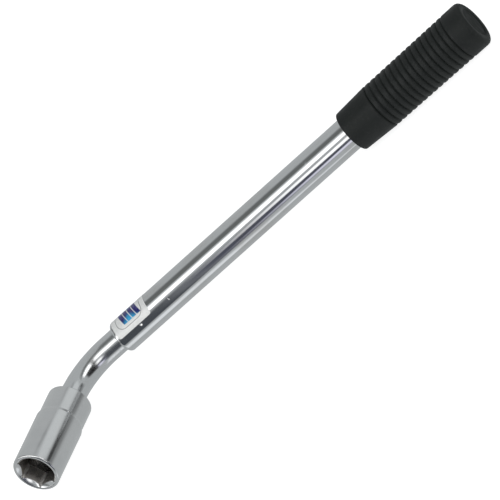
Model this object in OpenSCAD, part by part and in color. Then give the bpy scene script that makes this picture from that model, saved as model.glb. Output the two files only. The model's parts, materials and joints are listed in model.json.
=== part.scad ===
// Telescopic lug wrench: a bent rod with a reversible deep socket on its tang,
// and a tubular handle that slides out along the rod and turns on it.
// The handle's axis is parallel to X with the grip at +X, the bend lies in a
// horizontal plane, and the tool rests on the floor on its grip and socket.
// The origin is at the middle of the bounding box's bottom face.

/* [Rod] */
// Diameter of the rod
rod_d = 16.5; // [16:0.1:16.8]
// Angle between the handle's axis and the socket's axis, as a bend
bend_angle = 61; // [52:1:68]
// Radius of the bend at the rod's centreline
bend_radius = 35; // [31:1:37]
// Width across the flats of the square tang
tang_flats = 12.6; // [12.4:0.05:12.7]

/* [Socket] */
// Distance from the bend's corner point to the socket's mouth
mouth_reach = 89; // [87:1:96]
// Length of the socket
socket_len = 61.5; // [60:0.5:64]
// Outside diameter of the large end
large_d = 30; // [29.5:0.1:32]
// Outside diameter of the small end
small_d = 28.4; // [28:0.1:29]
// Length of the large end
large_len = 41.5; // [40:0.5:43]
// Width across the flats of the large hexagon
large_flats = 21.2; // [21:0.1:21.4]
// Width across the flats of the small hexagon
small_flats = 19.2; // [19:0.1:19.4]
// Turn of the hexagons about the socket's axis
hex_turn = 36.5; // [0:0.5:60]

/* [Handle tube] */
// Outside diameter of the tube
tube_d = 22; // [21.8:0.1:22.4]
// Thickness of the tube's wall
tube_wall = 1.8; // [1.7:0.05:1.9]
// Distance from the bend's corner point to the tube's nose
nose_reach = 31; // [30:0.5:34]
// Distance from the nose to the first ring of punch marks
crimp_near = 19.5; // [18:0.5:21]
// Distance from the nose to the second ring of punch marks
crimp_far = 44; // [42:0.5:46]
// How far the handle slides out
travel = 180; // [120:5:185]

/* [Grip] */
// Distance from the nose to the grip's near end
grip_start = 199; // [195:1:205]
// Length of the grip
grip_len = 104; // [100:1:106]
// Diameter of the grip's near end
grip_near_d = 28.3; // [27.5:0.1:29]
// Diameter of the grip's far end, the widest part of the tool
grip_far_d = 32.1; // [32:0.1:33]
// Number of grooves around the grip
grooves = 16; // [12:1:17]
// Distance from one groove to the next
groove_pitch = 4.32; // [4.1:0.01:4.4]

/* [Label] */
// Length of the label along the tube
label_len = 27; // [20:1:28]
// Angle that the label wraps around the tube
label_wrap = 135; // [90:5:150]

/* [Hidden] */
$fn = 96;

eps = 0.02;         // overlap of cutters, so that no cut ends on a face
run_gap = 0.05;     // radial clearance of a running fit
free_gap = 0.3;     // clearance between parts that must not touch

rod_r = rod_d / 2;
tube_r = tube_d / 2;
bore_r = tube_r - tube_wall;
bend_tangent = bend_radius * tan(bend_angle / 2);   // corner point to the bend's end
bend_thin = 0.02;   // the bar draws down by this much of its radius in the bend
bend_lap = 0.5;     // length over which a straight stretch laps the bend

// Socket, measured inwards from the mouth
large_r = large_d / 2;
small_r = small_d / 2;
mouth_round = 1.1;
back_round = 0.9;
step_len = 2;
rim_r = 12.8;                  // inner edge of the flat rim at the mouth
lead_in = 2.3;
large_hex_depth = 13.5;
large_bore_depth = 24;         // the round relief behind the large hexagon ends here
large_bore_r = 12.4;
web_end = 38;                  // the web with the square hole ends here
square_hole = 12.9;
relief_r = 1.2;                // round relief in each corner of a hexagon
tang_len = 13;
tang_corner_r = 8;
tang_bevel = 1.2;
relief_past = 0.35;            // how far a relief reaches past its corner
catch_r = 2.3;                 // hollows in the square hole that catch the ball
catch_in = 1.5;

// Ball and spring in the tang
drive_ball_r = 2;
drive_ball_proud = 0.1;
drive_hole_r = 2.1;
drive_hole_floor = -4;
drive_ball_at = 31;            // distance of the ball from the socket's mouth
drive_ball_z = tang_flats / 2 + drive_ball_proud - drive_ball_r;

// Crimps
dent_r = 2.2;
dent_depth = 0.5;
bump_r = 2.8;
bump_out = 11.4;               // radius at which each bump's sphere is centred
bump_half = 1.75;
crimp_turn = 168;              // turn of each pair about the handle's axis, from +Y

// Stop head
head_x = nose_reach + crimp_far + bump_half + travel + free_gap;
head_len = 26;
head_chamfer = 1;
spigot_r = 5;
spigot_len = 15.5;
pin_x = 8;
pin_r = 2;
ball_x = 21;
friction_ball_r = 2.5;
friction_hole_r = 2.6;
friction_ball_z = bore_r - 0.03 - friction_ball_r;

// Tube end, plug and grip
lip_r = rod_r + free_gap;
nose_round = tube_r - lip_r;
grip_x = nose_reach + grip_start;
grip_end = grip_x + grip_len;
tube_end = grip_end - 8;
plug_flange = 1.5;
plug_depth = 8;
grip_near_r = grip_near_d / 2;
grip_far_r = grip_far_d / 2;
grip_edge = 0.7;
grip_round = 3.2;
groove_first = 25;
groove_r = 0.8;
groove_last = groove_first + (grooves - 1) * groove_pitch;
rib_near_r = 15.55;
recess_r = 10.5;
recess_depth = 0.8;

label_start = nose_reach + nose_round + 0.2;
label_thick = 0.12;
label_turn = 29;               // turn of the label's first edge, from +Y
tube_wall_room = bore_r - rod_r;   // room between the rod and the tube's bore

// Bounding box of the tool about the bend's corner point, from its rounded rims
mouth_x = -(mouth_reach - mouth_round) * cos(bend_angle)
          - (large_r - mouth_round) * sin(bend_angle) - mouth_round;
mouth_y = -(mouth_reach - mouth_round) * sin(bend_angle)
          - (large_r - mouth_round) * cos(bend_angle) - mouth_round;
corner = [-(grip_end + mouth_x) / 2, -(grip_far_r + mouth_y) / 2, grip_far_r];

// Points of an arc, from angle a to angle b
function arc(centre, r, a, b, steps = 6) =
    [for (i = [0:steps]) centre + r * [cos(a + (b - a) * i / steps), sin(a + (b - a) * i / steps)]];

// Turns a profile of [radius, distance] points about the X axis
module lathe() { rotate([90, 0, 90]) rotate_extrude() children(); }

// Moves a piece from the bend's corner point to its place
module at_corner() { translate(corner) children(); }

// Puts +Z along the socket's axis, from the mouth inwards
module at_mouth() {
    reach = [-cos(bend_angle), -sin(bend_angle), 0] * mouth_reach;
    translate(corner + reach) rotate([0, 90, bend_angle]) children();
}

// Puts +Z upwards through the tang's ball
module at_drive_ball() {
    reach = [-cos(bend_angle), -sin(bend_angle), 0] * (mouth_reach - drive_ball_at);
    translate(corner + reach) children();
}

// Coil spring that stands on z = 0, made of a round wire
module coil(r, wire_r, height, turns) {
    sides = 6;
    steps = turns * 16;
    lift = (height - 2 * wire_r) / steps;
    points = [for (i = [0:steps], j = [0:sides - 1])
        let (turn = 360 * i / 16, around = 360 * j / sides, reach = r + wire_r * cos(around))
        [reach * cos(turn), reach * sin(turn), wire_r * (1 + sin(around)) + lift * i]];
    walls = [for (i = [0:steps - 1], j = [0:sides - 1])
        let (a = i * sides, b = (j + 1) % sides)
        [a + j, a + sides + j, a + sides + b, a + b]];
    ends = [[for (j = [0:sides - 1]) j], [for (j = [sides - 1:-1:0]) steps * sides + j]];
    polyhedron(points, concat(walls, ends), convexity = 8);
}

// Hexagon with a round relief in each corner
module relieved_hexagon(flats) {
    corner_r = flats / 2 / cos(30);
    circle(r = corner_r, $fn = 6);
    for (i = [0:5])
        rotate(60 * i) translate([corner_r - relief_r + relief_past, 0]) circle(r = relief_r);
}

// Two opposite crimps in one ring, either the dents outside or the bumps inside
module crimp_ring(distance, from_axis, r) {
    for (turn = [crimp_turn, crimp_turn + 180])
        translate([nose_reach + distance, 0, 0]) rotate([turn, 0, 0])
            translate([0, from_axis, 0]) sphere(r = r);
}

module drive_rod() {
    color("silver") difference() {
        union() {
            at_corner() {
                lathe() polygon([[0, bend_tangent - bend_lap], [rod_r, bend_tangent - bend_lap],
                                 [rod_r, head_x - 1], [rod_r - 1, head_x], [spigot_r - run_gap, head_x],
                                 [spigot_r - run_gap, head_x + spigot_len], [0, head_x + spigot_len]]);
                translate([bend_tangent, -bend_radius, 0]) rotate([0, 0, 90])
                    rotate_extrude(angle = bend_angle) translate([bend_radius, 0])
                        circle(r = rod_r - bend_thin);
            }
            at_mouth() {
                translate([0, 0, web_end + run_gap])
                    cylinder(r = rod_r, h = mouth_reach - bend_tangent + bend_lap - web_end - run_gap);
                intersection() {
                    translate([-tang_flats / 2, -tang_flats / 2, web_end - tang_len])
                        cube([tang_flats, tang_flats, tang_len + 3]);
                    translate([0, 0, web_end - tang_len]) rotate_extrude()
                        polygon([[0, 0], [tang_corner_r - tang_bevel, 0], [tang_corner_r, tang_bevel],
                                 [tang_corner_r, tang_len + 3], [0, tang_len + 3]]);
                }
            }
        }
        at_drive_ball() translate([0, 0, drive_hole_floor]) cylinder(r = drive_hole_r, h = rod_d);
        at_corner() translate([head_x + pin_x, -rod_r, 0]) rotate([-90, 0, 0])
            cylinder(r = pin_r, h = rod_d);
    }
}

module stop_head() {
    head_r = bore_r - 2 * run_gap;
    end = head_x + head_len;
    color("dimgray") at_corner() difference() {
        lathe() polygon([[spigot_r, head_x], [head_r - head_chamfer, head_x], [head_r, head_x + head_chamfer],
                         [head_r, end - head_chamfer], [head_r - head_chamfer, end], [0, end],
                         [0, head_x + spigot_len + run_gap], [spigot_r, head_x + spigot_len + run_gap]]);
        translate([head_x + pin_x, -tube_r, 0]) rotate([-90, 0, 0]) cylinder(r = pin_r, h = tube_d);
        translate([head_x + ball_x, 0, -tube_r]) cylinder(r = friction_hole_r, h = tube_d);
    }
}

module stop_pin() {
    pin_half = bore_r - 5 * run_gap;
    color("gray") at_corner() translate([head_x + pin_x, -pin_half, 0]) rotate([-90, 0, 0])
        cylinder(r = pin_r - run_gap / 2, h = 2 * pin_half);
}

module friction_balls() {
    color("lightgray") at_corner() for (side = [-1, 1])
        translate([head_x + ball_x, 0, side * friction_ball_z]) sphere(r = friction_ball_r);
}

module friction_spring() {
    half = friction_ball_z - friction_ball_r - run_gap;
    color("gray") at_corner() translate([head_x + ball_x, 0, -half])
        coil(r = 1.7, wire_r = 0.35, height = 2 * half, turns = 6);
}

module drive_ball() {
    color("lightgray") at_drive_ball() translate([0, 0, drive_ball_z]) sphere(r = drive_ball_r);
}

module drive_ball_spring() {
    height = drive_ball_z - drive_ball_r - drive_hole_floor - 2 * run_gap;
    color("gray") at_drive_ball() translate([0, 0, drive_hole_floor + run_gap])
        coil(r = 1.4, wire_r = 0.3, height = height, turns = 5);
}

// Half section of the socket's outside
module socket_section() {
    polygon(concat(
        [[0, 0]],
        arc([large_r - mouth_round, mouth_round], mouth_round, -90, 0),
        [[large_r, large_len], [small_r, large_len + step_len]],
        arc([small_r - back_round, socket_len - back_round], back_round, 0, 90),
        [[0, socket_len]]));
}

// Cone that opens a hexagon's mouth at z = 0, with its point inwards
module lead_in_cone(rim, hex_r, depth) {
    translate([0, 0, -eps]) cylinder(r1 = rim, r2 = hex_r, h = depth);
}

module socket() {
    color("silver") at_mouth() difference() {
        rotate_extrude() socket_section();
        rotate(hex_turn) {
            translate([0, 0, -1]) linear_extrude(large_hex_depth + 1) relieved_hexagon(large_flats);
            translate([0, 0, web_end]) linear_extrude(socket_len - web_end + 1)
                relieved_hexagon(small_flats);
        }
        lead_in_cone(rim_r, large_flats / 2, lead_in);
        translate([0, 0, socket_len]) mirror([0, 0, 1])
            lead_in_cone(small_flats / 2 + lead_in, small_flats / 2, lead_in);
        translate([0, 0, large_hex_depth - 1])
            cylinder(r = large_bore_r, h = large_bore_depth - large_hex_depth + 1);
        translate([-square_hole / 2, -square_hole / 2, large_bore_depth - 1])
            cube([square_hole, square_hole, web_end - large_bore_depth + 2]);
        for (turn = [0:90:270]) rotate(turn)
            translate([square_hole / 2 - catch_in, 0, drive_ball_at]) sphere(r = catch_r);
    }
}

module guide_bush() {
    start = nose_reach + crimp_near + bump_half + 3 * run_gap;
    end = nose_reach + crimp_far - bump_half - 3 * run_gap;
    color("ivory") at_corner() lathe()
        translate([rod_r + run_gap, start]) square([tube_wall_room - 2 * run_gap, end - start]);
}

module handle_tube() {
    color("silver") at_corner() difference() {
        union() {
            lathe() polygon(concat(
                [[lip_r, nose_reach + nose_round]],
                arc([lip_r, nose_reach + nose_round], nose_round, -90, 0, 8),
                [[tube_r, tube_end], [bore_r, tube_end], [bore_r, nose_reach + nose_round]]));
            for (distance = [crimp_near, crimp_far]) intersection() {
                crimp_ring(distance, bump_out, bump_r);
                lathe() translate([rod_r, nose_reach]) square([tube_r - rod_r - dent_depth, 2 * crimp_far]);
            }
        }
        for (distance = [crimp_near, crimp_far])
            crimp_ring(distance, tube_r + dent_r - dent_depth, dent_r);
    }
}

module tube_plug() {
    plug_r = bore_r - run_gap / 2;
    color("black") at_corner() lathe() polygon([
        [0, tube_end - 1], [plug_r - 2, tube_end - 1], [plug_r - 2, tube_end - plug_depth],
        [plug_r - 0.5, tube_end - plug_depth], [plug_r, tube_end - plug_depth + 0.5],
        [plug_r, tube_end], [tube_r - run_gap, tube_end],
        [tube_r - run_gap, tube_end + plug_flange], [0, tube_end + plug_flange]]);
}

// Radius of the ribs' crests at a distance from the grip's near end
function crest(distance) =
    rib_near_r + (grip_far_r - rib_near_r) * (distance - groove_first) / (groove_last - groove_first);

module grip() {
    color("#1e1e1f") at_corner() difference() {
        lathe() polygon(concat(
            [[tube_r, grip_x]],
            arc([grip_near_r - grip_edge, grip_x + grip_edge], grip_edge, -90, 0, 3),
            [[rib_near_r, grip_x + groove_first], [grip_far_r, grip_x + groove_last]],
            arc([grip_far_r - grip_round, grip_end - grip_round], grip_round, 0, 90),
            [[recess_r, grip_end], [recess_r - recess_depth, grip_end - recess_depth],
             [0, grip_end - recess_depth], [0, tube_end + plug_flange], [tube_r, tube_end + plug_flange]]));
        for (i = [0:grooves - 1]) let (distance = groove_first + i * groove_pitch)
            lathe() translate([crest(distance), grip_x + distance]) circle(r = groove_r);
    }
}

module label() {
    color("white") at_corner() rotate([label_turn, 0, 0]) rotate([90, 0, 90])
        rotate_extrude(angle = label_wrap) translate([tube_r, label_start])
            square([label_thick, label_len]);
}

drive_rod();
stop_head();
stop_pin();
friction_balls();
friction_spring();
drive_ball();
drive_ball_spring();
socket();
guide_bush();
handle_tube();
tube_plug();
grip();
label();
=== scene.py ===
"""Looks of the telescopic lug wrench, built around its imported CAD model, in metres."""

import json
import math

import bmesh
import bpy
from mathutils import Matrix, Vector


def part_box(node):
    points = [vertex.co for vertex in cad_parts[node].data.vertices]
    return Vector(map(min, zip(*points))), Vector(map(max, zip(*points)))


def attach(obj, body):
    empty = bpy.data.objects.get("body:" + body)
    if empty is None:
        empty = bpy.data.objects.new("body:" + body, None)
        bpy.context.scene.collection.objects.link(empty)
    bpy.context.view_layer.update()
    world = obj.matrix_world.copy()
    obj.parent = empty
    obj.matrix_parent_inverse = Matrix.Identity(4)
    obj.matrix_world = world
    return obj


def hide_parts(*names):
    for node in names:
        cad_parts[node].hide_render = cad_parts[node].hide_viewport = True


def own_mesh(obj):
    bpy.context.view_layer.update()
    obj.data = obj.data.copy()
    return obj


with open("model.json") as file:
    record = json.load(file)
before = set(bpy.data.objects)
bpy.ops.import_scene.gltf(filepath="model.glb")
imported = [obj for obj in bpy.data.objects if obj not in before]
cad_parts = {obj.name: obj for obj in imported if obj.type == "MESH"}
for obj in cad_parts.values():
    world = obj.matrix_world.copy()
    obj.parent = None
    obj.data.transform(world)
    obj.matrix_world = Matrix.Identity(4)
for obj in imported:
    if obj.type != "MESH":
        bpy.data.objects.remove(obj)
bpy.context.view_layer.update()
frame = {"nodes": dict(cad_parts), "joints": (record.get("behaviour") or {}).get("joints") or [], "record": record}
MM = 0.001

# ---------------------------------------------------------------- the frame's driving places and sizes

JOINTS = {joint["name"]: joint for joint in frame["joints"]}
MOUNTS = {mount["name"]: mount for mount in frame["record"]["mounts"]}
UP = Vector((0, 0, 1))
ALONG = Vector(JOINTS["handle_slide"]["axis"])        # along the handle, towards the grip's end
OUTWARDS = Vector(JOINTS["socket_pull"]["axis"])      # along the socket's axis, out of its mouth
ACROSS = UP.cross(-OUTWARDS)                          # level, square to the socket's axis
MOUTH = Vector(MOUNTS["large_hexagon"]["pos_m"])
BACK_OF_SOCKET = Vector(MOUNTS["small_hexagon"]["pos_m"])
TANG_TIP = Vector(MOUNTS["square_drive"]["pos_m"])
SPIN = Vector(JOINTS["handle_spin"]["pos_m"])
CORNER = MOUTH - OUTWARDS * ((MOUTH.y - SPIN.y) / OUTWARDS.y)   # where the two axes meet


def span(node, axis=0):
    """A node's extent along X, Y or Z, measured from the corner point."""
    low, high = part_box(node)
    return low[axis] - CORNER[axis], high[axis] - CORNER[axis]


NOSE, TUBE_END = span("handle_tube")
TUBE_R = span("handle_tube", 2)[1]
GRIP_NEAR, GRIP_END = span("grip")
GRIP_R = span("grip", 2)[1]
ROD_END = span("drive_rod")[1]
HEAD_NEAR = span("stop_head")[0]
PLUG_END = span("tube_plug")[1]
LABEL_NEAR, LABEL_FAR = span("label")
BALL = sum(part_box("drive_ball"), Vector()) / 2
PIN = sum(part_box("stop_pin"), Vector()) / 2

# Rod
ROD_R = 8.25 * MM
BEND_R = 35 * MM              # radius of the bend, along the rod's axis
BEND = OUTWARDS.angle(-ALONG)
TANGENT = BEND_R * math.tan(BEND / 2)
BEND_START = (CORNER - TANG_TIP).length - TANGENT   # distances along the rod from the tang's tip
BEND_END = BEND_START + BEND_R * BEND
TANG_HALF = 6.3 * MM
TANG_CORNER_R = 8 * MM
TANG_BEVEL = 1.2 * MM
TIP_EDGE = 0.25 * MM          # easing of the tang's tip
SHOULDER_GAP = 0.05 * MM      # between the rod's shoulder and the socket's web
SHOULDER_EDGE = 0.3 * MM
HEAD_BEVEL = 1 * MM           # where the rod steps down to the spigot
SPIGOT_R = 4.95 * MM
SPIGOT_EDGE = 0.4 * MM
BALL_HOLE_R = 2.1 * MM
BALL_HOLE_DEPTH = 4 * MM
PIN_HOLE_R = 2 * MM
DRILL_REACH = 12 * MM         # of the pin's drill, to each side of the rod's axis
BALL_DRILL = 14 * MM          # length of the ball's drill

# Springs
COIL_STEPS = 24               # points per turn
COIL_R = 1.7 * MM             # middle radius of the friction spring
COIL_WIRE = 0.35 * MM         # radius of its wire
COIL_TURNS = 6
BALL_WIRE = 0.2 * MM
BALL_TURNS = 4
BALL_CLEAR = 0.25 * MM        # between the drive ball's spring and the ball's lowest part

# Socket, with depths measured from its mouth
SOCKET_LEN = (MOUTH - BACK_OF_SOCKET).length
TANG_DEPTH = (MOUTH - TANG_TIP).length
LARGE_R = 14.99 * MM          # outside radius near the mouth, just inside the CAD socket's
SMALL_R = 14.2 * MM
STEP_NEAR = 41.5 * MM         # the slope between the two outside radii
STEP_FAR = 43.5 * MM
MOUTH_ROUND = 1.1 * MM
BACK_ROUND = 0.9 * MM
RIM_R = 12.8 * MM             # inner edge of the mouth's flat rim
LEAD_IN = 2.3 * MM
LEAD_SOFT = 0.1 * MM          # easing where the lead-in meets the flats
LARGE_HALF = 10.6 * MM        # half width across the flats
SMALL_HALF = 9.6 * MM
RELIEF_R = 1.2 * MM           # round relief in each corner of a hexagon
RELIEF_PAST = 0.35 * MM       # how far it reaches past the sharp corner
HEX_TURN = math.radians(36.5)
BORE_NEAR = 12.5 * MM         # the flats end here
HEX_DEPTH = 13.5 * MM         # the corner reliefs end here
BORE_R = 12.4 * MM
BORE_BEVEL = 0.6 * MM
WEB_NEAR = 24 * MM
WEB_FAR = 38 * MM
SQUARE_HALF = 6.45 * MM
SQUARE_BEVEL = 0.3 * MM
CATCH_R = 2.3 * MM            # hollows of the square hole that hold the ball
CATCH_IN = 1.5 * MM
CATCH_DEPTH = 31 * MM

# Handle tube
TUBE_BORE_R = 9.2 * MM
LIP_R = 8.55 * MM
NOSE_ROUND = TUBE_R - LIP_R   # radius of the rolled-in nose
CRIMPS = (NOSE + 19.5 * MM, NOSE + 44 * MM)     # the two pairs of punch marks, along the tube
CRIMP_TURN = math.radians(168)                  # the seen mark of each pair, around the tube
DENT_R = 2.2 * MM             # radius of the punch's tip
DENT_DEPTHS = (0.5 * MM, 0.16 * MM)
DENT_NARROW = 0.62            # length of a dent along the tube, against its length around it
BUMP_R = 2.8 * MM             # the marks' bumps inside the tube
BUMP_OUT = 11.4 * MM          # from the axis to the middle of a bump's sphere

# Grip
GRIP_NEAR_R = 14.15 * MM
RIB_NEAR_R = 15.55 * MM
GROOVES = 16
GROOVE_FIRST = 25 * MM
GROOVE_PITCH = 4.32 * MM
GROOVE_LAST = GROOVE_FIRST + (GROOVES - 1) * GROOVE_PITCH
GROOVE_DEPTH = 0.72 * MM
GROOVE_WIDTH = 0.6 * MM
GROOVE_REACH = 1.4 * MM       # how far the fine rings go past the end grooves
RIB_CROWN = 0.42 * MM
RIB_STEP = 0.24 * MM
GRIP_EDGE = 0.7 * MM
GRIP_ROUND = 3.2 * MM
RECESS_R = 10.5 * MM          # shallow recess in the end face
RECESS_DEPTH = 0.8 * MM
RECESS_SOFT = 1.1 * MM        # half width of its slope

# Label
LABEL_LIFT = 0.01 * MM
LABEL_THICK = 0.1 * MM
LABEL_WRAP = math.radians(135)
LABEL_TURN = math.radians(29) + LABEL_WRAP / 2     # where its middle is, around the tube
LABEL_CORNER = 1.8 * MM
LABEL_EDGE = 0.04 * MM        # easing of the film's upper edge
LABEL_MIDDLE = (LABEL_NEAR + LABEL_FAR) / 2
LABEL_HALF_U = (LABEL_FAR - LABEL_NEAR) / 2
LABEL_HALF_V = LABEL_WRAP * TUBE_R / 2
LABEL_SHARES = 24             # rings between the film's centre and its outline

# Camera
VIEW_AZIMUTH = math.radians(18.36)
VIEW_ELEVATION = math.radians(19.24)
VIEW_ROLL = math.radians(-48.03)
VIEW_DISTANCE = 5.0
VIEW_WIDTH = 0.3088           # width of the picture at the corner point's distance
VIEW_CENTRE = (0.1018, 0.0742)  # from the corner point to the picture's centre, right and up
SENSOR = 36


# ---------------------------------------------------------------- mesh building

def placed(name, data):
    """A new object with the given data, put into the scene."""
    made = bpy.data.objects.new(name, data)
    bpy.context.scene.collection.objects.link(made)
    return made


def sheet(name, corners):
    """A flat sheet with four corners."""
    mesh = bpy.data.meshes.new(name)
    mesh.from_pydata(corners, [], [(0, 1, 2, 3)])
    return placed(name, mesh)


def applied(made):
    """A new mesh of what an object shows, with its modifiers and its bevel."""
    bpy.context.view_layer.update()
    return bpy.data.meshes.new_from_object(made.evaluated_get(bpy.context.evaluated_depsgraph_get()))


def skin(name, rings, wrap=False, sharp=30):
    """A closed skin through rings of points. A ring of one point closes an end, and wrap joins the last ring
    to the first. Edges that turn by more than sharp degrees stay crisp."""
    mesh = bpy.data.meshes.new(name)
    work = bmesh.new()
    rows = [[work.verts.new(point) for point in ring] for ring in rings]
    pairs = list(zip(rows, rows[1:])) + ([(rows[-1], rows[0])] if wrap else [])
    for near, far in pairs:
        for i in range(max(len(near), len(far))):
            corners = [near[i % len(near)], near[(i + 1) % len(near)],
                       far[(i + 1) % len(far)], far[i % len(far)]]
            work.faces.new(list(dict.fromkeys(corners)))
    bmesh.ops.remove_doubles(work, verts=work.verts, dist=1e-7)
    bmesh.ops.recalc_face_normals(work, faces=work.faces)
    for face in work.faces:
        face.smooth = True
    work.to_mesh(mesh)
    work.free()
    mesh.set_sharp_from_angle(angle=math.radians(sharp))
    return placed(name, mesh)


def arc(centre_x, centre_r, radius, start, end, steps=8):
    """Points (distance, radius) of an arc, from angle start to angle end in degrees, 0 being outwards."""
    turns = [math.radians(start + (end - start) * i / steps) for i in range(steps + 1)]
    return [(centre_x + radius * math.sin(t), centre_r + radius * math.cos(t)) for t in turns]


def spaced(start, end, step):
    """Distances from start to end, at most step apart."""
    count = max(1, math.ceil(abs(end - start) / step))
    return [start + (end - start) * i / count for i in range(count + 1)]


def around(count):
    """Angles of count points spread evenly over a turn."""
    return [2 * math.pi * i / count for i in range(count)]


def on_handle(distance, radius, turn):
    """A point about the handle's axis: distance from the corner point, and turn from +Y towards +Z."""
    return CORNER + ALONG * distance + Vector((0, radius * math.cos(turn), radius * math.sin(turn)))


def handle_ring(distance, radius, turns):
    """A ring about the handle's axis. radius is a number, or a function of distance and turn."""
    if radius == 0:
        return [on_handle(distance, 0, 0)]
    reach = radius if callable(radius) else lambda d, t: radius
    return [on_handle(distance, reach(distance, turn), turn) for turn in turns]


def in_socket(depth, radius, turn):
    """A point about the socket's axis: depth inwards from the mouth, and turn from straight down."""
    return MOUTH - OUTWARDS * depth + (ACROSS * math.sin(turn) - UP * math.cos(turn)) * radius


def cut(piece, *cutters):
    """Subtracts closed cutters from a piece and removes them."""
    for cutter in cutters:
        trim = piece.modifiers.new("cut", "BOOLEAN")
        trim.object = cutter
        trim.operation = "DIFFERENCE"
        trim.solver = "EXACT"
    shaped = applied(piece)
    piece.modifiers.clear()
    piece.data = shaped
    for cutter in cutters:
        bpy.data.objects.remove(cutter)


def drill(start, end, radius, sides=48):
    """A closed round cutter from start to end."""
    axis = (end - start).normalized()
    side = axis.orthogonal().normalized()
    other = axis.cross(side)
    rim = [side * radius * math.cos(t) + other * radius * math.sin(t) for t in around(sides)]
    rings = [[start], [start + r for r in rim], [end + r for r in rim], [end]]
    return skin("drill", rings)


def dress(piece, body, slot, nodes, *materials):
    """Gives a piece its materials, puts it on the body it rides on and hides the CAD nodes it stands for. An empty
    list of materials isn't cleared, because clearing sets every face back to the first material."""
    if piece.data.materials:
        piece.data.materials.clear()
    for material in materials:
        piece.data.materials.append(material)
    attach(piece, body)
    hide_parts(*nodes)
    return piece


# ---------------------------------------------------------------- material helpers

class Nodes:
    """A node tree that is being filled."""

    def __init__(self, tree):
        self.tree = tree

    def give(self, socket, value):
        """Links a socket to another one, or sets its plain value."""
        if isinstance(value, bpy.types.NodeSocket):
            self.tree.links.new(value, socket)
        else:
            socket.default_value = value

    def node(self, kind, inputs=None, **settings):
        """A new node with its settings, and with what its inputs take."""
        made = self.tree.nodes.new(kind)
        for name, value in settings.items():
            setattr(made, name, value)
        for name, value in (inputs or {}).items():
            self.give(made.inputs[name], value)
        return made

    def math(self, operation, first, second=0.0):
        """The result of an operation on one or two numbers."""
        return self.node("ShaderNodeMath", {0: first, 1: second}, operation=operation).outputs[0]

    def graded(self, value, low, high, to_low, to_high):
        """Maps low..high smoothly onto to_low..to_high, and clamps outside."""
        inputs = {"Value": value, "From Min": low, "From Max": high, "To Min": to_low, "To Max": to_high}
        return self.node("ShaderNodeMapRange", inputs, interpolation_type="SMOOTHSTEP").outputs[0]

    def mix(self, factor, first, second):
        """Mixes two colours."""
        made = self.node("ShaderNodeMix", {"Factor": factor}, data_type="RGBA")
        self.give(made.inputs[6], first)
        self.give(made.inputs[7], second)
        return made.outputs[2]

    def bump(self, height, distance, strength=1.0, under=None):
        """A normal tilted by a height, on top of the one under it."""
        inputs = {"Height": height, "Distance": distance, "Strength": strength}
        if under:
            inputs["Normal"] = under
        return self.node("ShaderNodeBump", inputs).outputs[0]


class Paint(Nodes):
    """A material being painted: a Principled shader and the nodes that feed it."""

    def __init__(self, name, **sockets):
        self.material = bpy.data.materials.new(name)
        self.material.use_nodes = True
        super().__init__(self.material.node_tree)
        self.shader = self.tree.nodes["Principled BSDF"]
        for socket, value in sockets.items():
            self.shader.inputs[socket.replace("_", " ")].default_value = value
        self.place = self.node("ShaderNodeTexCoord").outputs["Object"]

    def mapped(self, scale, turn=0.0):
        """Coordinates scaled along X, Y and Z after a turn about Z, so that a pattern can be stretched."""
        turned = self.node("ShaderNodeMapping", {"Vector": self.place, "Rotation": (0, 0, turn)})
        return self.node("ShaderNodeMapping", {"Vector": turned.outputs[0], "Scale": scale}).outputs[0]

    def noise(self, scale, detail=3.0, rough=0.5, vector=None):
        """Cloudy noise from 0 to 1."""
        inputs = {"Vector": vector or self.place, "Scale": scale, "Detail": detail, "Roughness": rough}
        return self.node("ShaderNodeTexNoise", inputs).outputs["Fac"]

    def cells(self, scale):
        """Distance to the nearest of many scattered points."""
        inputs = {"Vector": self.place, "Scale": scale}
        return self.node("ShaderNodeTexVoronoi", inputs, feature="F1").outputs["Distance"]

    def attribute(self, name):
        """A number stored in the mesh under a name."""
        return self.node("ShaderNodeAttribute", attribute_name=name).outputs["Fac"]

    def feed(self, socket, value):
        """Links one of the shader's sockets to a value."""
        self.tree.links.new(value, self.shader.inputs[socket])


def grey(level, warmth=0.0):
    """A near-neutral colour. Positive warmth is yellowish, and negative is bluish."""
    return level * (1 + warmth), level, level * (1 - warmth), 1


# ---------------------------------------------------------------- materials

CHROME_CLEAN, CHROME_SMUDGED, CHROME_SPECK = grey(0.70, -0.012), grey(0.64, 0.005), grey(0.34)
SATIN_DARK, SATIN_LIGHT, SATIN_RUBBED = grey(0.63, -0.01), grey(0.75), grey(0.5, 0.02)
OIL_TINT = (0.9, 0.86, 0.78, 1)
RUBBER_DARK = (0.0066, 0.0082, 0.0078, 1)
RUBBER_LIGHT = (0.0115, 0.0138, 0.0130, 1)
RUBBER_WORN = (0.0155, 0.0175, 0.0168, 1)
RUBBER_DUST = grey(0.03, 0.02)


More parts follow.
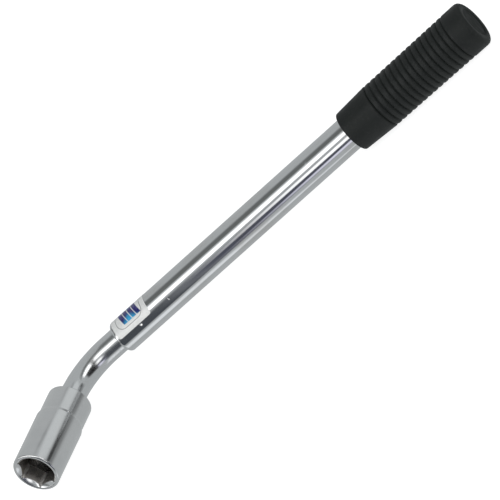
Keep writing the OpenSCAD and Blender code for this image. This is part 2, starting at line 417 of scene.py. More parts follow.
def bright_chrome(name, fine_scale, haze=0.0):
    """Polished chrome plate with fine polishing lines, a faint ripple in the plate, smudges and scuffs."""
    paint = Paint(name, Metallic=1.0)
    smudge = paint.noise(38, 4, 0.6)
    lines = paint.noise(1, 2, 0.6, paint.mapped(fine_scale))
    specks = paint.graded(paint.cells(420), 0.03, 0.09, 1.0, 0.0)
    tint = paint.mix(paint.graded(smudge, 0.45, 0.7, 0.0, 1.0), CHROME_CLEAN, CHROME_SMUDGED)
    paint.feed("Base Color", paint.mix(paint.math("MULTIPLY", specks, 0.35), tint, CHROME_SPECK))
    rough = paint.graded(smudge, 0.35, 0.72, 0.055 + haze, 0.115 + haze)
    rough = paint.math("ADD", rough, paint.math("MULTIPLY", lines, 0.03))
    scuffs = paint.graded(paint.noise(95, 4, 0.7), 0.63, 0.76, 0.0, 1.0)
    paint.feed("Roughness", paint.math("ADD", rough, paint.math("MULTIPLY", scuffs, 0.2)))
    ripple = paint.bump(paint.noise(260, 1), 0.004 * MM)
    paint.feed("Normal", paint.bump(lines, 0.0012 * MM, under=ripple))
    return paint.material


def satin_chrome():
    """Satin chrome plate over turned steel, with fine rings around the socket and a few rub marks."""
    paint = Paint("satin_chrome", Metallic=1.0)
    turn = -math.atan2(-OUTWARDS.y, -OUTWARDS.x)
    rings = paint.noise(1, 2, 0.7, paint.mapped((2600, 90, 90), turn))
    cloud = paint.noise(55, 4, 0.6)
    rubs = paint.graded(paint.noise(1, 3, 0.7, paint.mapped((900, 160, 160), turn)), 0.62, 0.74, 0.0, 1.0)
    tint = paint.mix(cloud, SATIN_DARK, SATIN_LIGHT)
    paint.feed("Base Color", paint.mix(paint.math("MULTIPLY", rubs, 0.3), tint, SATIN_RUBBED))
    rough = paint.graded(cloud, 0.3, 0.7, 0.14, 0.2)
    paint.feed("Roughness", paint.math("ADD", rough, paint.math("MULTIPLY", rubs, 0.06)))
    dimples = paint.bump(paint.noise(300, 2), 0.01 * MM)
    paint.feed("Normal", paint.bump(rings, 0.0035 * MM, under=dimples))
    return paint.material


def oiled_bore(name, low, high, rough):
    """Thinly plated inside of the socket with an oily tint. Low and high set its base colour, and the deep bore's
    dark one is painted shade.
    """
    paint = Paint(name, Metallic=1.0, Specular_Tint=OIL_TINT)
    stain = paint.noise(240, 4, 0.65)
    grit = paint.noise(1800, 2)
    paint.feed("Base Color", paint.mix(stain, grey(low, 0.04), grey(high, 0.03)))
    paint.feed("Roughness", paint.graded(grit, 0.3, 0.7, rough, rough + 0.08))
    paint.feed("Normal", paint.bump(grit, 0.004 * MM))
    return paint.material


def steel(name, level, rough, warmth=0.0):
    """Plain machined steel, brushed by fine noise."""
    paint = Paint(name, Metallic=1.0)
    cloud = paint.noise(220, 3)
    grain = paint.noise(2600, 2)
    paint.feed("Base Color", paint.mix(cloud, grey(level * 0.85, warmth), grey(level * 1.15, warmth)))
    paint.feed("Roughness", paint.graded(cloud, 0.3, 0.7, rough * 0.85, rough * 1.2))
    paint.feed("Normal", paint.bump(grain, 0.004 * MM))
    return paint.material


def rubber():
    """Matte black moulded rubber, a little polished and dusty where hands and bags rub it."""
    paint = Paint("grip_rubber", IOR=1.5)
    # Less shine deep in the end's recess: painted shade that darkens the end face.
    paint.feed("Specular IOR Level", paint.graded(paint.attribute("hollow"), 0.0, 1.0, 0.25, 0.1))
    mottle = paint.noise(150, 4, 0.6)
    grain = paint.noise(2400, 3, 0.6)
    dust = paint.graded(paint.noise(620, 3, 0.7), 0.52, 0.75, 0.0, 1.0)
    wear = paint.attribute("wear")
    black = paint.mix(mottle, RUBBER_DARK, RUBBER_LIGHT)
    worn = paint.mix(paint.math("MULTIPLY", wear, 0.5), black, RUBBER_WORN)
    paint.feed("Base Color", paint.mix(paint.math("MULTIPLY", dust, 0.35), worn, RUBBER_DUST))
    rough = paint.graded(mottle, 0.3, 0.7, 0.5, 0.64)
    paint.feed("Roughness", paint.math("SUBTRACT", rough, paint.math("MULTIPLY", wear, 0.08)))
    waves = paint.bump(paint.noise(420, 2), 0.04 * MM, 0.5)
    paint.feed("Normal", paint.bump(grain, 0.03 * MM, 0.55, waves))
    return paint.material


def plastic(name, level, warmth=0.0):
    """Moulded plastic with a faint grain."""
    paint = Paint(name)
    cloud = paint.noise(300, 3)
    paint.feed("Base Color", paint.mix(cloud, grey(level * 0.9, warmth), grey(level * 1.1, warmth)))
    paint.feed("Roughness", paint.graded(cloud, 0.3, 0.7, 0.42, 0.55))
    paint.feed("Normal", paint.bump(paint.noise(3000, 2), 0.008 * MM))
    return paint.material


# Printed label. Its UV coordinates are millimetres from its centre: U along the tube and V around it.
PRINT_HALF = (10.0, 9.6)            # half size of the outline
PRINT_CORNER = 5.0
OUTLINE_WIDTH = 0.32
OUTLINE_GREY = grey(0.12)
STRIPES = (-5.4, -1.8, 1.8, 5.4)    # middles of the slanted stripes
STRIPE_WIDTH = 3.1
STRIPE_SLANT = 0.25
STRIPE_HALF = 7.5                   # half length of the stripes, across the label
SHADE_SPAN = (0.2, 6.2)             # from navy near the label's middle to cyan
SHADE_LEAN = 0.75                   # how much less cyan the stripes get along U
NAVY = (0.018, 0.014, 0.15, 1)
CYAN = (0.045, 0.40, 0.70, 1)
FILM_DARK, FILM_LIGHT = grey(0.74, 0.01), grey(0.82, 0.02)


def rounded_distance(paint, u, v, half_u, half_v, corner):
    """How far a point lies outside a rounded rectangle about the centre. Negative values are inside."""
    past_u = paint.math("SUBTRACT", paint.math("ABSOLUTE", u), half_u - corner)
    past_v = paint.math("SUBTRACT", paint.math("ABSOLUTE", v), half_v - corner)
    out_u = paint.math("MAXIMUM", past_u, 0.0)
    out_v = paint.math("MAXIMUM", past_v, 0.0)
    squares = paint.math("ADD", paint.math("MULTIPLY", out_u, out_u), paint.math("MULTIPLY", out_v, out_v))
    inside = paint.math("MINIMUM", paint.math("MAXIMUM", past_u, past_v), 0.0)
    return paint.math("SUBTRACT", paint.math("ADD", paint.math("SQRT", squares), inside), corner)


def band(paint, value, middle, half, soft=0.08):
    """1 where value is within half of middle."""
    off = paint.math("ABSOLUTE", paint.math("SUBTRACT", value, middle))
    return paint.graded(off, half - soft, half + soft, 1.0, 0.0)


def printed_stripes(paint, u, v):
    """1 on the slanted stripes."""
    slanted = paint.math("SUBTRACT", u, paint.math("MULTIPLY", v, STRIPE_SLANT))
    stripes = 0.0
    for middle in STRIPES:
        stripes = paint.math("ADD", band(paint, slanted, middle, STRIPE_WIDTH / 2), stripes)
    return paint.math("MULTIPLY", stripes, band(paint, v, 0.0, STRIPE_HALF))


def printed_label():
    """Glossy white film with a thin rounded outline and generic slanted stripes."""
    paint = Paint("printed_label", IOR=1.5, Coat_Weight=0.3, Coat_Roughness=0.1)
    uv = paint.node("ShaderNodeUVMap", uv_map="print").outputs[0]
    u, v, _ = paint.node("ShaderNodeSeparateXYZ", {"Vector": uv}).outputs
    edge = rounded_distance(paint, u, v, *PRINT_HALF, PRINT_CORNER)
    outline = band(paint, edge, 0.0, OUTLINE_WIDTH / 2)
    lean = paint.math("MULTIPLY", paint.math("ABSOLUTE", u), SHADE_LEAN)
    shade = paint.math("SUBTRACT", paint.math("ABSOLUTE", v), lean)
    blue = paint.mix(paint.graded(shade, *SHADE_SPAN, 0.0, 1.0), NAVY, CYAN)
    film = paint.mix(paint.noise(400, 3), FILM_DARK, FILM_LIGHT)
    outlined = paint.mix(outline, film, OUTLINE_GREY)
    paint.feed("Base Color", paint.mix(printed_stripes(paint, u, v), outlined, blue))
    paint.feed("Roughness", paint.graded(paint.noise(700, 3), 0.3, 0.7, 0.22, 0.34))
    paint.feed("Normal", paint.bump(paint.noise(350, 2), 0.012 * MM))
    return paint.material


# ---------------------------------------------------------------- pieces

def dented(along, turn, centre_out, radius):
    """Distance from the axis to the near side of a crimp's spheres, or None beside them."""
    for side in (CRIMP_TURN, CRIMP_TURN + math.pi):
        off = math.remainder(turn - side, 2 * math.pi)
        room = radius ** 2 - along ** 2 - (centre_out * math.sin(off)) ** 2
        if room > 0 and math.cos(off) > 0:
            return centre_out * math.cos(off) - math.sqrt(room)
    return None


def tube_outside(distance, turn):
    """Outer radius of the tube, with the punch marks' dents."""
    for crimp, depth in zip(CRIMPS, DENT_DEPTHS):
        dent = dented((distance - crimp) / DENT_NARROW, turn, TUBE_R + DENT_R - depth, DENT_R)
        if dent is not None:
            return min(TUBE_R, dent)
    return TUBE_R


def tube_inside(distance, turn):
    """Inner radius of the tube, with the punch marks' bumps."""
    for crimp in CRIMPS:
        bump = dented(distance - crimp, turn, BUMP_OUT, BUMP_R)
        if bump is not None:
            return min(TUBE_BORE_R, bump)
    return TUBE_BORE_R


def tube_distances():
    """Distances of the tube's rings, close together at the crimps."""
    stops = [NOSE + NOSE_ROUND]
    for crimp in CRIMPS:
        stops += spaced(crimp - DENT_R, crimp + DENT_R, 0.13 * MM)
    return stops + spaced(CRIMPS[1] + 6 * MM, TUBE_END, 30 * MM)


def handle_tube():
    """The handle's tube, with its rolled-in nose and its punch marks."""
    turns = around(256)
    nose = NOSE + NOSE_ROUND
    distances = tube_distances()
    rings = [handle_ring(nose, LIP_R, turns)]
    rings += [handle_ring(x, r, turns) for x, r in arc(nose, LIP_R, NOSE_ROUND, -90, 0, 10)[:-1]]
    rings += [handle_ring(x, tube_outside, turns) for x in distances]
    rings += [handle_ring(x, tube_inside, turns) for x in reversed(distances)]
    return skin("handle_tube_shell", rings, wrap=True, sharp=35)


def rod_place(travel):
    """Centre, and two directions across, at a distance along the rod from the tang's tip."""
    if travel <= BEND_START:
        return TANG_TIP - OUTWARDS * travel, ACROSS, UP
    if travel >= BEND_END:
        return CORNER + ALONG * (TANGENT + travel - BEND_END), UP.cross(ALONG), UP
    turned = (travel - BEND_START) / BEND_R
    centre = CORNER + ALONG * TANGENT - UP.cross(ALONG) * BEND_R
    side = UP.cross(ALONG) * math.cos(BEND - turned) - ALONG * math.sin(BEND - turned)
    return centre + side * BEND_R, side, UP


def square_radius(turn, reach):
    """Radius of the tang's outline: a square with round corners of the given reach."""
    off = math.remainder(turn, math.pi / 2)
    return min(TANG_HALF / math.cos(off), reach)


def rod_ring(travel, radius, turns):
    """A ring across the rod. radius is a number, or a function of the turn."""
    centre, side, lift = rod_place(travel)
    if radius == 0:
        return [centre]
    reach = radius if callable(radius) else lambda t: radius
    return [centre + (side * math.cos(t) + lift * math.sin(t)) * reach(t) for t in turns]


def rod_stops():
    """Places along the rod from the tang's tip to the spigot's end, each with its radius."""
    shoulder = WEB_FAR - TANG_DEPTH + SHOULDER_GAP
    head = BEND_END + HEAD_NEAR - TANGENT
    end = head + ROD_END - HEAD_NEAR
    tip_reach = TANG_CORNER_R - TANG_BEVEL
    stops = [(0, 0), (0, lambda t: square_radius(t, tip_reach) - TIP_EDGE),
             (TIP_EDGE, lambda t: square_radius(t, tip_reach + TIP_EDGE)),
             (TANG_BEVEL, lambda t: square_radius(t, TANG_CORNER_R)),
             (shoulder, lambda t: square_radius(t, TANG_CORNER_R)),
             (shoulder, ROD_R - SHOULDER_EDGE), (shoulder + SHOULDER_EDGE, ROD_R)]
    travels = spaced(shoulder + 3 * MM, BEND_START, 6 * MM)[:-1] + spaced(BEND_START, BEND_END, 0.6 * MM)
    travels += spaced(BEND_END + 4 * MM, head - HEAD_BEVEL, 40 * MM)
    stops += [(travel, ROD_R) for travel in travels]
    stops += [(head, ROD_R - HEAD_BEVEL), (head, SPIGOT_R)]
    return stops + [(end - SPIGOT_EDGE, SPIGOT_R), (end, SPIGOT_R - SPIGOT_EDGE), (end, 0)]


def drive_rod():
    """The bent rod, with the holes of the drive ball and of the stop head's pin."""
    turns = around(240)
    rod = skin("drive_rod_bar", [rod_ring(travel, radius, turns) for travel, radius in rod_stops()], sharp=28)
    ball_floor = Vector((BALL.x, BALL.y, CORNER.z - BALL_HOLE_DEPTH))
    reach = Vector((0, DRILL_REACH, 0))
    cut(rod, drill(ball_floor, ball_floor + UP * BALL_DRILL, BALL_HOLE_R),
        drill(PIN - reach, PIN + reach, PIN_HOLE_R))
    return rod


def relief_centre(half):
    """Distance from the axis to the centre of a hexagon's corner reliefs."""
    return half / math.cos(math.pi / 6) + RELIEF_PAST - RELIEF_R


def hexagon_radius(half, turn):
    """Distance from the axis to a hexagon with a round relief in each corner."""
    off = abs(math.remainder(turn - HEX_TURN, math.pi / 3))
    wall = half / math.cos(math.pi / 6 - off)
    centre = relief_centre(half)
    if centre * math.sin(off) < RELIEF_R:
        wall = max(wall, centre * math.cos(off) + math.sqrt(RELIEF_R ** 2 - (centre * math.sin(off)) ** 2))
    return wall


def relief_edge(half):
    """Angle from a hexagon's corner at which its relief meets the flat."""
    centre = relief_centre(half)
    gap = half - centre * math.cos(math.pi / 6)
    along = centre * math.sin(math.pi / 6) - math.sqrt(RELIEF_R ** 2 - gap ** 2)
    return math.pi / 6 - math.atan2(along, half)


def socket_turns():
    """Angles of the socket's points: fine in the reliefs, with one at each edge of the inner shapes."""
    steps = [math.radians(a) for a in (0, 1, 2, 3, 4, 5, 7.2, 9, 12, 15, 18, 21, 24, 27, 30)]
    steps += [relief_edge(LARGE_HALF), relief_edge(SMALL_HALF)]
    turns = {math.radians(45 + 90 * i) for i in range(4)}
    for corner in (HEX_TURN + math.radians(60 * i) for i in range(6)):
        for step in steps:
            turns.add(round((corner + step) % (2 * math.pi), 9))
            turns.add(round((corner - step) % (2 * math.pi), 9))
    return sorted(turns)


def square_hole_radius(depth, turn):
    """Distance from the axis to the square hole, with its hollows for the ball."""
    off = math.remainder(turn, math.pi / 2)
    wall = SQUARE_HALF / math.cos(off)
    out = SQUARE_HALF - CATCH_IN
    room = CATCH_R ** 2 - (depth - CATCH_DEPTH) ** 2 - (out * math.sin(off)) ** 2
    return wall if room <= 0 else max(wall, out * math.cos(off) + math.sqrt(room))


def socket_outside():
    """Profile points (depth, radius) of the socket's outside, from its back to its rim, with eased edges."""
    back = arc(SOCKET_LEN - BACK_ROUND, SMALL_R - BACK_ROUND, BACK_ROUND, 90, 0)
    body = [(STEP_FAR + 0.25 * MM, SMALL_R), (STEP_FAR - 0.15 * MM, SMALL_R + 0.07 * MM),
            (STEP_NEAR + 0.2 * MM, LARGE_R - 0.09 * MM), (STEP_NEAR - 0.25 * MM, LARGE_R)]
    mouth = arc(MOUTH_ROUND, LARGE_R - MOUTH_ROUND, MOUTH_ROUND, 0, -90)
    return back + body + mouth + [(0, RIM_R + 0.15 * MM), (0.08 * MM, RIM_R - 0.02 * MM)]


def socket_inside(turn):
    """Points (depth, radius) of the socket's inside at one turn, from its rim to its back."""
    large = hexagon_radius(LARGE_HALF, turn)
    small = hexagon_radius(SMALL_HALF, turn)
    lead = LEAD_IN * (RIM_R - large) / (RIM_R - LARGE_HALF)
    back_lead = SOCKET_LEN - (SMALL_HALF + LEAD_IN - small)
    lead_depth = max(lead - LEAD_SOFT, 0.12 * MM)
    lead_radius = min(large + LEAD_SOFT * 0.96, RIM_R - 0.06 * MM)
    mouth = [(lead_depth, lead_radius), (lead + LEAD_SOFT, large), (BORE_NEAR, large)]
    bore = [(BORE_NEAR, max(large, BORE_R)), (HEX_DEPTH, max(large, BORE_R)), (HEX_DEPTH, BORE_R),
            (WEB_NEAR - BORE_BEVEL, BORE_R), (WEB_NEAR, BORE_R - BORE_BEVEL),
            (WEB_NEAR, square_hole_radius(WEB_NEAR, turn) + SQUARE_BEVEL)]
    catches = spaced(CATCH_DEPTH - CATCH_R, CATCH_DEPTH + CATCH_R, 0.4 * MM)
    depths = (WEB_NEAR + SQUARE_BEVEL, *catches, WEB_FAR)
    square = [(depth, square_hole_radius(depth, turn)) for depth in depths]
    back = [(WEB_FAR, small), (back_lead - LEAD_SOFT, small), (back_lead + LEAD_SOFT, small + LEAD_SOFT),
            (SOCKET_LEN, SMALL_HALF + LEAD_IN)]
    return mouth + bore + square + back


def socket():
    """The socket, with a material for each of its surfaces."""
    turns = socket_turns()
    outside = [[in_socket(depth, radius, t) for t in turns] for depth, radius in socket_outside()]
    columns = [[in_socket(depth, radius, t) for depth, radius in socket_inside(t)] for t in turns]
    piece = skin("socket_shell", outside + list(zip(*columns)), wrap=True, sharp=32)
    for face in piece.data.polygons:
        depth = (MOUTH - face.center).dot(OUTWARDS)
        radius = (face.center - MOUTH + OUTWARDS * depth).length
        face.material_index = socket_slot(depth, radius)
    return piece


def socket_slot(depth, radius):
    """Material of a socket face: outside 0, hexagons 1, corner reliefs 2, lead-ins 3 and the deep bore 4, which is
    painted shade.
    """
    if radius > RIM_R or depth > SOCKET_LEN - LEAD_IN:
        return 0
    # Faces deep in the bore get a much darker material: painted shade.
    if BORE_NEAR < depth < WEB_FAR:
        return 4
    if depth < LEAD_IN * 0.97 and radius > LARGE_HALF * 1.01:
        return 3
    # The corner reliefs get a lighter steel that stands in for their bright reflections: a painted highlight.
    in_relief = radius > LARGE_HALF / math.cos(math.pi / 6) - 0.25 * MM
    return 2 if in_relief and depth < BORE_NEAR else 1


def crest(distance):
    """Radius of the ribs' tops at a distance from the grip's near end."""
    share = (distance - GROOVE_FIRST) / (GROOVE_LAST - GROOVE_FIRST)
    return RIB_NEAR_R + (GRIP_R - RIB_NEAR_R) * share


def rib(distance):
    """Radius of the grip around its grooves: round-topped ribs between them, and no ribs past the ends."""
    nearest = round((distance - GROOVE_FIRST) / GROOVE_PITCH)
    off = abs(distance - GROOVE_FIRST - nearest * GROOVE_PITCH)
    groove = GROOVE_DEPTH * math.exp(-(off / GROOVE_WIDTH) ** 2)
    between = GROOVE_FIRST <= distance <= GROOVE_LAST
    crown = RIB_CROWN * (1 - 2 * off / GROOVE_PITCH) ** 2 if between else 0.0
    return crest(distance) - groove - crown


def grip_recess():
    """Points (distance, radius) of the grip's end face, from its middle to the rim of its shallow recess."""
    floor_x = GRIP_END - RECESS_DEPTH
    points = [(floor_x, 0)]
    points += [(floor_x, r) for r in spaced(2 * MM, RECESS_R - RECESS_SOFT - 1 * MM, 2 * MM)]
    for i in range(9):
        rise = (1 - math.cos(math.pi * i / 8)) / 2
        points.append((floor_x + RECESS_DEPTH * rise, RECESS_R - RECESS_SOFT + 2 * RECESS_SOFT * i / 8))
    return points


def grip_profile():
    """Points (distance, radius) of the grip, from its end face over its outside to its inner floor."""
    edge = GRIP_END - GRIP_ROUND
    points = grip_recess() + arc(edge, GRIP_R - GRIP_ROUND, GRIP_ROUND, 90, 0, 10)
    points += [(x, GRIP_R) for x in spaced(edge - 2 * MM, GRIP_NEAR + GROOVE_LAST + 3 * MM, 3 * MM)]
    for x in spaced(GROOVE_LAST + GROOVE_REACH, GROOVE_FIRST - GROOVE_REACH, RIB_STEP):
        points.append((GRIP_NEAR + x, min(GRIP_R, rib(x))))
    for x in spaced(GROOVE_FIRST - 2.5 * MM, GRIP_EDGE + 0.5 * MM, 3 * MM):
        points.append((GRIP_NEAR + x, GRIP_NEAR_R + (RIB_NEAR_R - GRIP_NEAR_R) * x / GROOVE_FIRST))
    points += arc(GRIP_NEAR + GRIP_EDGE, GRIP_NEAR_R - GRIP_EDGE, GRIP_EDGE, 0, -90, 4)
    return points + [(GRIP_NEAR, TUBE_R), (PLUG_END, TUBE_R), (PLUG_END, 0)]


def wear_at(distance, radius):
    """How worn the grip is, from 0 to 1: the ribs' tops most, the plain ends less, and the grooves not."""
    near_ribs = GROOVE_FIRST - 2 * MM < distance < GROOVE_LAST + 2 * MM
    low = max(0.0, crest(distance) - radius) if near_ribs else 0.3 * GROOVE_DEPTH
    return max(0.0, 1 - low / (0.5 * GROOVE_DEPTH))


def grip():
    """The ribbed grip. Its mesh stores where it is worn and how deep in the end's recess it is, which sets a
    painted shade there.
    """
    turns = around(224)
    piece = skin("grip_sleeve", [handle_ring(x, r, turns) for x, r in grip_profile()], sharp=40)
    wear = piece.data.attributes.new("wear", "FLOAT", "POINT")
    hollow = piece.data.attributes.new("hollow", "FLOAT", "POINT")
    for vertex, worn, deep in zip(piece.data.vertices, wear.data, hollow.data):
        place = vertex.co - CORNER
        radius = math.hypot(place.y, place.z)
        worn.value = wear_at(place.x - GRIP_NEAR, radius)
        deep.value = min(1.0, (GRIP_END - place.x) / RECESS_DEPTH) if radius < RECESS_R + 1.5 * MM else 0.0
    return piece


def rounded_outline(half_u, half_v, corner, step):
    """Points of a rounded rectangle about the centre, at most step apart."""
    flat_u, flat_v = half_u - corner, half_v - corner
    sides = (((flat_u, half_v), (-flat_u, half_v)), ((-half_u, flat_v), (-half_u, -flat_v)),
             ((-flat_u, -half_v), (flat_u, -half_v)), ((half_u, -flat_v), (half_u, flat_v)))
    turns = spaced(0, math.pi / 2, step / corner)[1:-1]
    points = []
    for quarter, ((u0, v0), (u1, v1)) in enumerate(sides):
        shares = spaced(0, 1, step / math.dist((u0, v0), (u1, v1)))
        points += [(u0 + (u1 - u0) * share, v0 + (v1 - v0) * share) for share in shares]
        centre_u = -flat_u if quarter in (0, 1) else flat_u
        centre_v = flat_v if quarter in (0, 3) else -flat_v
        for turn in turns:
            angle = turn + math.pi / 2 * (quarter + 1)
            points.append((centre_u + corner * math.cos(angle), centre_v + corner * math.sin(angle)))
    return points


def label_ring(outline, radius, share=1.0, inset=0.0):
    """The label's outline at a radius about the tube, shrunk to a share of itself or by an inset."""
    scale_u = share - inset / LABEL_HALF_U
    scale_v = share - inset / LABEL_HALF_V
    return [on_handle(LABEL_MIDDLE + u * scale_u, radius, LABEL_TURN + v * scale_v / TUBE_R)
            for u, v in outline]


def label():
    """A film with round corners, wrapped around the tube. Its UV coordinates carry the print."""
    low = TUBE_R + LABEL_LIFT
    high = low + LABEL_THICK
    outline = rounded_outline(LABEL_HALF_U, LABEL_HALF_V, LABEL_CORNER, 0.5 * MM)
    shares = [i / LABEL_SHARES for i in range(1, LABEL_SHARES)]
    under = [label_ring(outline, low, share) for share in shares]
    upper = [label_ring(outline, high, share) for share in reversed(shares)]
    edge = [label_ring(outline, low), label_ring(outline, high - 0.75 * LABEL_EDGE),
            label_ring(outline, high, inset=LABEL_EDGE)]
    middles = [[on_handle(LABEL_MIDDLE, radius, LABEL_TURN)] for radius in (low, high)]
    piece = skin("label_film", [middles[0], *under, *edge, *upper, middles[1]], sharp=60)
    uv = piece.data.uv_layers.new(name="print")
    for loop in piece.data.loops:
        place = piece.data.vertices[loop.vertex_index].co - CORNER
        turn = math.atan2(place.z, place.y)
        uv.data[loop.index].uv = ((place.x - LABEL_MIDDLE) / MM, (turn - LABEL_TURN) * TUBE_R / MM)
    return piece


def coil(name, centre, radius, wire, height, turns):
    """A compression spring of round wire that stands along Z about its centre."""
    curve = bpy.data.curves.new(name, "CURVE")
    curve.dimensions = "3D"
    curve.bevel_depth = wire
    curve.bevel_resolution = 4
    curve.use_fill_caps = True
    steps = turns * COIL_STEPS
    line = curve.splines.new("POLY")
    line.points.add(steps)
    for i, point in enumerate(line.points):
        turn = 2 * math.pi * i / COIL_STEPS
        rise = (height - 2 * wire) * (i / steps - 0.5)
        point.co = (*(centre + Vector((radius * math.cos(turn), radius * math.sin(turn), rise))), 1)
    made = placed(name, curve)
    mesh = applied(made)
    bpy.data.objects.remove(made)
    for face in mesh.polygons:
        face.use_smooth = True
    return placed(name, mesh)


def friction_spring(steel_look):
    """The spring between the two friction balls."""
    low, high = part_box("friction_spring")
    made = coil("friction_spring_coil", (low + high) / 2, COIL_R, COIL_WIRE, high.z - low.z, COIL_TURNS)
    dress(made, "rod", "spring_steel", ["friction_spring"], steel_look)


def drive_ball_spring(steel_look):
    """The small spring under the drive's ball. It shortens as the ball goes in, and stays clear of it."""
    low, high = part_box("drive_ball_spring")
    height = high.z - low.z - BALL_CLEAR
    radius = (high.x - low.x) / 2 - BALL_WIRE
    foot = Vector((BALL.x, BALL.y, low.z))
    made = coil("drive_ball_spring_coil", foot + UP * height / 2, radius, BALL_WIRE, height, BALL_TURNS)
    dress(made, "rod", "spring_steel", ["drive_ball_spring"], steel_look)
    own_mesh(made)


def paint_node(name, material):
    """Gives a CAD node that stays in view a detailed material."""
    node = frame["nodes"][name]
    for slot in node.material_slots:
        slot.material = material


# ---------------------------------------------------------------- light, floor and camera

WHITE = (1, 1, 1, 1)
FLOOR_HALF = 9.0

# Panels of the studio all around: azimuth and elevation of the middle, half width and half height in degrees,
# brightness, and softness of the edge. Azimuth runs from +X towards +Y.
STUDIO = (0.505, 0.525, 0.53)   # the plain pale surroundings
PANELS = {
    "key": (-97, 41, 24, 11, 2.6, 0.12),
    "second_key": (-42, 36, 20, 13, 2.4, 0.25),
    "gap": (-152, 69, 50, 8, 0.17, 0.5),
    "side_sheet": (20, 25, 16, 16, 0.72, 0.3),
    "low_gap": (58, -2, 20, 15, 0.1, 0.5),
    "mullion": (36, 46, 5, 5, 0.38, 0.6),
    "doorway": (11, -8, 18, 12, 0.22, 0.8),
    "door": (11, -1, 18, 6, 0.05, 0.2),
}

# The studio's front wall stands close to the tool, and only reflections see it. Each patch on it has its span
# along X with a soft edge, its lower and upper edges in Z at both ends of the span with their softness,
# and its colour. Later patches lie over earlier ones.
WALL_Y = -0.5
WALL_HALF = 3.2
PATCHES = {
    "gap": ((-3.0, 3.0, 0.1), (1.1, 1.1, 0.14), (9, 9, 0.1), (0.17, 0.18, 0.175)),
    "key": ((-3.0, 0.03, 0.03), (0.0, 0.385, 0.05), (0.70, 0.70, 0.26), (2.4, 2.4, 2.4)),
    "post": ((0.03, 0.20, 0.03), (0.20, 0.20, 0.05), (1.2, 1.2, 0.3), (0.15, 0.15, 0.15)),
    "second_key": ((0.20, 1.10, 0.06), (0.34, 0.34, 0.05), (0.80, 0.80, 0.15), (2.2, 2.2, 2.2)),
    "lens": ((-3.0, -0.22, 0.03), (-0.36, -0.36, 0.04), (0.19, 0.19, 0.12), (0.080, 0.088, 0.10)),
    "lens_end": ((-0.22, 0.10, 0.03), (-0.36, -0.28, 0.04), (0.19, 0.17, 0.10), (0.095, 0.10, 0.13)),
    "upper_sheet": ((-0.157, 0.07, 0.07), (0.03, -0.03, 0.03), (0.17, 0.18, 0.035), (1.6, 1.6, 1.6)),
    "lower_sheet": ((-0.145, 0.07, 0.07), (-0.31, -0.31, 0.05), (-0.17, -0.12, 0.03), (0.98, 0.98, 1.12)),
    "room": ((0.08, 0.75, 0.04), (-0.34, -0.34, 0.10), (0.29, 0.29, 0.05), (0.02, 0.02, 0.02)),
    "streak": ((-0.80, -0.27, 0.07), (-1.5, -1.5, 0.25), (-0.54, -0.54, 0.09), (0.95, 0.98, 1.0)),
}


def edge_between(paint, x, span, ends):
    """Z of a patch's edge, which runs straight from one end of the span to the other."""
    inputs = {"Value": x, "From Min": span[0], "From Max": span[1], "To Min": ends[0], "To Max": ends[1]}
    return paint.node("ShaderNodeMapRange", inputs).outputs[0]


def patch_share(paint, x, z, span, low, high):
    """1 inside a patch of the front wall and 0 outside."""
    left, right, soft = span
    above = paint.math("SUBTRACT", z, edge_between(paint, x, span, low))
    below = paint.math("SUBTRACT", z, edge_between(paint, x, span, high))
    inside = paint.math("MULTIPLY", paint.graded(x, left - soft, left + soft, 0.0, 1.0),
                        paint.graded(x, right - soft, right + soft, 1.0, 0.0))
    inside = paint.math("MULTIPLY", inside, paint.graded(above, -low[2], low[2], 0.0, 1.0))
    return paint.math("MULTIPLY", inside, paint.graded(below, -high[2], high[2], 1.0, 0.0))


def front_wall():
    """The wall in front of the tool, with its bright and dark patches. Only reflections see it."""
    corners = [(x * WALL_HALF * 1.6, WALL_Y, z * WALL_HALF) for x, z in ((-1, -1), (1, -1), (1, 1), (-1, 1))]
    wall = sheet("front_wall", corners)
    paint = Paint("front_wall", Roughness=1.0)
    x, _, z = paint.node("ShaderNodeSeparateXYZ", {"Vector": paint.place}).outputs
    colour = (*STUDIO, 1)
    for span, low, high, patch_colour in PATCHES.values():
        colour = paint.mix(patch_share(paint, x, z, span, low, high), colour, (*patch_colour, 1))
    glow = paint.node("ShaderNodeEmission", {"Color": colour})
    paint.give(paint.tree.nodes["Material Output"].inputs["Surface"], glow.outputs[0])
    wall.data.materials.append(paint.material)
    for ray in ("camera", "diffuse", "transmission", "volume_scatter", "shadow"):
        setattr(wall, "visible_" + ray, False)


def reach_along(nodes, direction, axis):
    """How far a direction reaches along an axis."""
    inputs = {0: direction, 1: axis}
    return nodes.node("ShaderNodeVectorMath", inputs, operation="DOT_PRODUCT").outputs["Value"]


def panel_share(nodes, direction, azimuth, elevation, halves, soft):
    """1 inside a panel of the studio and 0 outside. The panel's corners are round."""
    a, e = math.radians(azimuth), math.radians(elevation)
    middle = Vector((math.cos(a) * math.cos(e), math.sin(a) * math.cos(e), math.sin(e)))
    side = Vector((-math.sin(a), math.cos(a), 0))
    ahead = nodes.math("MAXIMUM", reach_along(nodes, direction, middle), 0.02)
    powers = []
    for axis, half in zip((side, middle.cross(side)), halves):
        reach = nodes.math("DIVIDE", reach_along(nodes, direction, axis), ahead)
        off = nodes.math("DIVIDE", nodes.math("ABSOLUTE", reach), math.tan(math.radians(half)))
        powers.append(nodes.math("POWER", off, 4.0))
    return nodes.graded(nodes.math("POWER", nodes.math("ADD", *powers), 0.25), 1 - soft, 1 + soft, 1.0, 0.0)


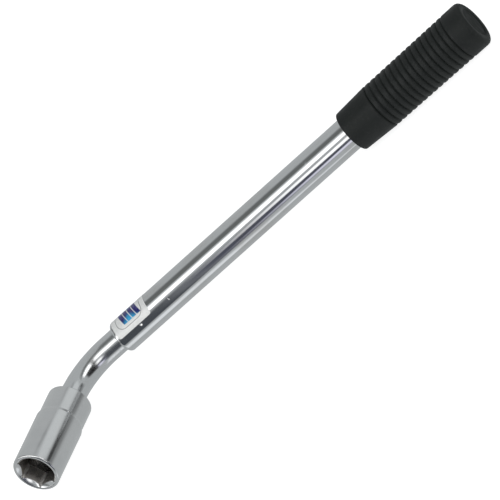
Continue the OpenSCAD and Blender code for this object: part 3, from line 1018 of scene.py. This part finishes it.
def world_light():
    """A pale studio all around with soft panels of light, and dark gaps between them."""
    world = bpy.data.worlds.new("studio")
    world.use_nodes = True
    world.node_tree.nodes.clear()
    nodes = Nodes(world.node_tree)
    direction = nodes.node("ShaderNodeTexCoord").outputs["Generated"]
    level = STUDIO[1]
    for azimuth, elevation, half_width, half_height, brightness, soft in PANELS.values():
        inside = panel_share(nodes, direction, azimuth, elevation, (half_width, half_height), soft)
        change = nodes.math("SUBTRACT", brightness, level)
        level = nodes.math("ADD", nodes.math("MULTIPLY", inside, change), level)
    seen = nodes.node("ShaderNodeLightPath").outputs["Is Camera Ray"]
    tint = tuple(part / STUDIO[1] for part in STUDIO)
    tinted = nodes.node("ShaderNodeVectorMath", {0: tint, "Scale": level}, operation="SCALE").outputs[0]
    glow = nodes.node("ShaderNodeBackground", {"Color": nodes.mix(seen, tinted, WHITE)})
    output = nodes.node("ShaderNodeOutputWorld")
    nodes.give(output.inputs[0], glow.outputs[0])
    bpy.context.scene.world = world


def floor():
    """A plain pale floor. It glows a little, as a lit sweep does, so that shadows on it stay faint."""
    corners = [(x * FLOOR_HALF, y * FLOOR_HALF, 0) for x, y in ((-1, -1), (1, -1), (1, 1), (-1, 1))]
    plane = sheet("floor", corners)
    paint = Paint("pale_floor", Roughness=0.9, Specular_IOR_Level=0.0, Base_Color=grey(0.35),
                  Emission_Color=WHITE, Emission_Strength=0.9)
    plane.data.materials.append(paint.material)
    plane.visible_glossy = False


def camera():
    """The photograph's view: a long lens, low over the floor and rolled."""
    a, e, r = VIEW_AZIMUTH, VIEW_ELEVATION, VIEW_ROLL
    back = Vector((math.sin(a) * math.cos(e), -math.cos(a) * math.cos(e), math.sin(e)))
    level_right = Vector((math.cos(a), math.sin(a), 0))
    level_up = back.cross(level_right)
    right = level_right * math.cos(r) + level_up * math.sin(r)
    up = back.cross(right)
    data = bpy.data.cameras.new("camera")
    data.sensor_width = SENSOR
    data.lens = SENSOR * VIEW_DISTANCE / VIEW_WIDTH
    data.clip_end = 50
    made = placed("camera", data)
    target = CORNER + right * VIEW_CENTRE[0] + up * VIEW_CENTRE[1]
    made.matrix_world = axes_matrix(right, up, back, target + back * VIEW_DISTANCE)
    bpy.context.scene.camera = made
    bpy.context.scene.view_settings.view_transform = "Standard"


def axes_matrix(right, up, back, place):
    """The matrix of an object whose X, Y and Z axes and place are given."""
    matrix = Matrix((right, up, back)).transposed().to_4x4()
    matrix.translation = place
    return matrix


# ---------------------------------------------------------------- the whole tool

def build():
    """Makes every piece and gives the CAD nodes that stay in view their materials."""
    tube_chrome = bright_chrome("tube_chrome", (2200, 60, 60))
    rod_chrome = bright_chrome("rod_chrome", (70, 1900, 1900), haze=0.09)
    dark = steel("dark_steel", 0.11, 0.34)
    spring = steel("spring_steel", 0.34, 0.3)
    ball = steel("ball_steel", 0.6, 0.09)
    dress(handle_tube(), "handle", "bright_chrome", ["handle_tube"], tube_chrome)
    dress(drive_rod(), "rod", "bright_chrome", ["drive_rod"], rod_chrome)
    dress(socket(), "socket_body", "satin_chrome", ["socket"], satin_chrome(),
          # The corner reliefs' lighter steel is a painted highlight, standing in for their bright reflections.
          oiled_bore("oiled_hexagon", 0.58, 0.84, 0.27), steel("relief_painted_highlight", 0.86, 0.4, 0.02),
          bright_chrome("lead_in_chrome", (500, 500, 500), haze=0.09),
          # The deep bore's dark base colour is painted shade, much darker than the hexagons' steel.
          oiled_bore("painted_shade_bore", 0.13, 0.25, 0.2))
    dress(grip(), "handle", "grip_rubber", ["grip"], rubber())
    dress(label(), "handle", "printed_label", ["label"], printed_label())
    friction_spring(spring)
    drive_ball_spring(spring)
    paint_node("stop_head", dark)
    paint_node("stop_pin", spring)
    paint_node("friction_balls", ball)
    paint_node("drive_ball", ball)
    paint_node("guide_bush", plastic("bush_plastic", 0.62, 0.08))
    paint_node("tube_plug", plastic("black_plastic", 0.015))


camera()
world_light()
front_wall()
floor()
build()

bpy.context.view_layer.update()
